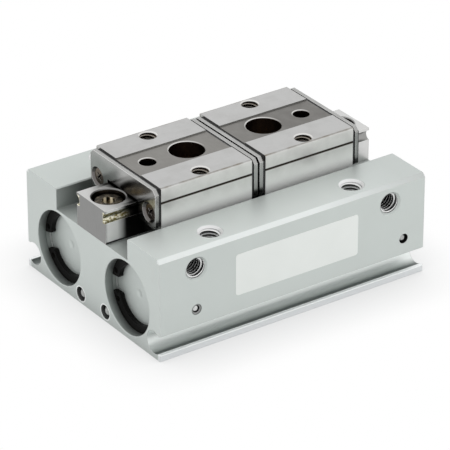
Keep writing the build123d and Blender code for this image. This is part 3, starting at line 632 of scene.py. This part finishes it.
def paint_nodes(materials):
    """Gives each CAD node the material of its slot, and two nodes that share a slot their own."""
    chosen = {part["node"]: part["material_slot"] for part in frame["record"]["subparts"]}
    chosen.update(rail_screws="rail_screw_steel", plug_balls="plug_steel")
    for name, material in chosen.items():
        for held in frame["nodes"][name].material_slots:
            held.material = materials[material]


# Added pieces


def add_piece(name, vertices, faces, material, body):
    mesh = bpy.data.meshes.new(name)
    mesh.from_pydata(vertices, [], faces)
    mesh.materials.append(material)
    piece = bpy.data.objects.new(name, mesh)
    bpy.context.scene.collection.objects.link(piece)
    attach(piece, body)


def add_thread(name, mouth, into, size, depth, body, material):
    """Helical ridge that lines a tapped hole, fading out at both ends."""
    radius, pitch = size
    steps = 32
    start = 0.25
    fade_steps = steps * 0.6
    least_height = 0.02
    sunk = 0.02
    base_half, crest_half = 0.26, 0.07
    crest_height = 0.54 * pitch
    total = int((depth - start - pitch) / pitch * steps)
    into = Vector(into)
    side = into.orthogonal().normalized()
    other = into.cross(side)
    vertices, faces = [], []
    for i in range(total + 1):
        angle = 2 * math.pi * i / steps
        fade = min(1, i / fade_steps, (total - i) / fade_steps)
        spoke = side * math.cos(angle) + other * math.sin(angle)
        along = start + pitch / 2 + pitch * i / steps
        outer = radius + sunk
        inner = radius - crest_height * max(fade, least_height)
        profile = ((outer, -base_half), (inner, -crest_half), (inner, crest_half), (outer, base_half))
        for reach, offset in profile:
            vertices.append((mouth + into * (along + offset * pitch) + spoke * reach) * MM)
    for i in range(total):
        a, b = 4 * i, 4 * (i + 1)
        for j in range(4):
            k = (j + 1) % 4
            faces.append((a + j, a + k, b + k, b + j))
    faces.append((3, 2, 1, 0))
    faces.append(tuple(4 * total + j for j in range(4)))
    add_piece(name, vertices, faces, material, body)


def add_threads(materials):
    """Ridges for every tapped hole that can be seen from outside."""
    cut, lit_cut, steel = (materials[name] for name in ("cut_aluminium", "cut_aluminium_lit", "cut_steel"))
    inward, down, up = (0, 1, 0), (0, 0, -1), (0, 0, 1)
    for port, sx in (("closing", -1), ("opening", 1)):
        mouth = Vector((sx * PORT[0], -BLOCK_SIDE, PORT[1]))
        add_thread(f"thread_{port}_port", mouth, inward, M5, 7.5, "body", cut)
    for sx, end in ((-1, "left"), (1, "right")):
        for sy, row in ((-1, "near"), (1, "far")):
            mouth = Vector((sx * TOP_HOLE[0], sy * TOP_HOLE[1], BLOCK_TOP))
            add_thread(f"thread_top_{row}_{end}", mouth, down, M5, 8.0, "body", lit_cut)
            mouth = Vector((sx * FINGER_THREAD[0], sy * FINGER_THREAD[1], FINGER_TOP))
            add_thread(f"thread_finger_{row}_{end}", mouth, down, M4, 5.0, f"{end}_finger", steel)
        mouth = Vector((sx * FOOT_HOLE_X, 0, 0))
        add_thread(f"thread_foot_{end}", mouth, up, M5, 6.0, "body", cut)


def add_staked_rim(materials):
    """Metal peened over the left ball of the near side, all round the mouth of its hole."""
    steps, radius = 40, 1.25
    centre_x, centre_z = LEFT_SIDE_PLUG
    profile = ((1.005, 0.03), (0.7, 0.22), (1.005, 0.8))  # distance out and depth, in radii
    vertices, faces = [], []
    for i in range(steps):
        angle = 2 * math.pi * i / steps
        for out, depth in profile:
            reach = radius * out
            vertices.append(millimetres(
                centre_x + reach * math.cos(angle),
                -BLOCK_SIDE + radius * depth,
                centre_z + reach * math.sin(angle),
            ))
    for i in range(steps):
        j = (i + 1) % steps
        for k in range(3):
            n = (k + 1) % 3
            faces.append((3 * i + k, 3 * j + k, 3 * j + n, 3 * i + n))
    add_piece("staked_rim", vertices, faces, materials["anodised_aluminium"], "body")


def add_label(materials):
    """Thin film with rounded corners on the near side, left blank."""
    left, right, low, high, corner = -16.6, 18.1, 10.5, 21.2, 0.8
    outer, rim, back = -28.03, -28.022, -27.99
    corner_steps, face_scale = 6, 0.9985
    outline = []
    for cx, cz, start in (
        (right - corner, high - corner, 0), (left + corner, high - corner, 90),
        (left + corner, low + corner, 180), (right - corner, low + corner, 270),
    ):
        for step in range(corner_steps + 1):
            angle = math.radians(start + 90 / corner_steps * step)
            outline.append((cx + corner * math.cos(angle), cz + corner * math.sin(angle)))
    count = len(outline)
    vertices = [millimetres(x * face_scale, outer, z) for x, z in outline]
    vertices += [millimetres(x, rim, z) for x, z in outline]
    vertices += [millimetres(x, back, z) for x, z in outline]
    faces = [tuple(range(count)), tuple(reversed(range(2 * count, 3 * count)))]
    for ring in (0, count):
        for i in range(count):
            j = (i + 1) % count
            faces.append((ring + i, ring + count + i, ring + count + j, ring + j))
    add_piece("blank_label", vertices, faces, materials["label_film"], "body")


# Studio


def add_light(name, location, size, power):
    """Soft lamp that looks at the part and is left out of reflections, so that pale metal doesn't clip."""
    target = Vector((0, 0, 0.015))
    data = bpy.data.lights.new(name, "AREA")
    data.shape = "RECTANGLE"
    data.size, data.size_y = size
    data.energy = power
    light = bpy.data.objects.new(name, data)
    light.location = location
    light.visible_glossy = False
    light.rotation_mode = "QUATERNION"
    light.rotation_quaternion = (target - Vector(location)).to_track_quat("-Z", "Y")
    bpy.context.scene.collection.objects.link(light)


def background_rays(tree):
    """1 for the rays that see the background: from the camera, reflected and through glass."""
    rays = node(tree, "ShaderNodeLightPath").outputs
    return any_of(tree, rays["Is Camera Ray"], rays["Is Glossy Ray"], rays["Is Transmission Ray"])


def add_floor():
    """Pale floor that background rays see as white, with the part's soft shadow at its foot."""
    half, level = 1.5, -0.00005
    mesh = bpy.data.meshes.new("floor")
    corners = [(-half, -half, level), (half, -half, level), (half, half, level), (-half, half, level)]
    mesh.from_pydata(corners, [], [(0, 1, 2, 3)])
    floor = bpy.data.objects.new("floor", mesh)
    bpy.context.scene.collection.objects.link(floor)
    material, tree = new_tree("floor")
    tone = noise(tree, place(tree), 0.01, 2.0)
    colour = mixed(tree, tone, (0.80, 0.81, 0.80), (0.84, 0.85, 0.84))
    matte = node(tree, "ShaderNodeBsdfDiffuse", None, {"Color": colour}).outputs[0]
    closed = maths(tree, "MULTIPLY", closed_in(tree, reach=18, samples=16), 0.9, clamp=True)
    shadow = mixed(tree, closed, (1.0, 1.0, 1.0), (0.5, 0.51, 0.51))
    white = node(tree, "ShaderNodeEmission", None, {"Color": shadow, "Strength": 1.0}).outputs[0]
    choice = {0: background_rays(tree), 1: matte, 2: white}
    both = node(tree, "ShaderNodeMixShader", None, choice).outputs[0]
    node(tree, "ShaderNodeOutputMaterial", None, {"Surface": both})
    mesh.materials.append(material)


def add_world():
    """Soft grey surroundings, brighter overhead, that background rays see as white."""
    world = bpy.data.worlds.new("studio")
    bpy.context.scene.world = world
    world.use_nodes = True
    tree = world.node_tree
    tree.nodes.clear()
    direction = node(tree, "ShaderNodeTexCoord").outputs["Generated"]
    _, _, height = split(tree, direction)
    tones = node(tree, "ShaderNodeValToRGB", None, {0: remapped(tree, height, 0.5, 1.0)})
    stops = tones.color_ramp.elements
    stops[0].position = 0.5
    stops[0].color = (0.42, 0.43, 0.43, 1)
    stops[1].color = (0.95, 0.96, 0.96, 1)
    stops.new(0.7).color = (0.70, 0.71, 0.71, 1)
    tint = node(tree, "ShaderNodeBackground", None, {"Color": tones.outputs[0], "Strength": 0.66}).outputs[0]
    white = node(tree, "ShaderNodeBackground", None, {"Color": (1, 1, 1, 1), "Strength": 1.0}).outputs[0]
    choice = {0: background_rays(tree), 1: tint, 2: white}
    both = node(tree, "ShaderNodeMixShader", None, choice).outputs[0]
    node(tree, "ShaderNodeOutputWorld", None, {"Surface": both})


def add_studio():
    add_world()
    add_floor()
    add_light("overhead", (0.25, 0.4, 0.8), (0.9, 0.9), 2.2)
    add_light("key", (0.45, -0.42, 0.62), (0.7, 0.7), 1.9)
    add_light("right_front", (0.5, -0.45, 0.12), (0.4, 0.25), 1.0)
    add_light("left_front", (-0.6, -0.1, 0.22), (0.4, 0.35), 1.0)
    bpy.context.scene.view_settings.view_transform = "Standard"


def build():
    add_camera()
    materials = make_materials()
    paint_nodes(materials)
    add_threads(materials)
    add_staked_rim(materials)
    add_label(materials)
    add_studio()


build()
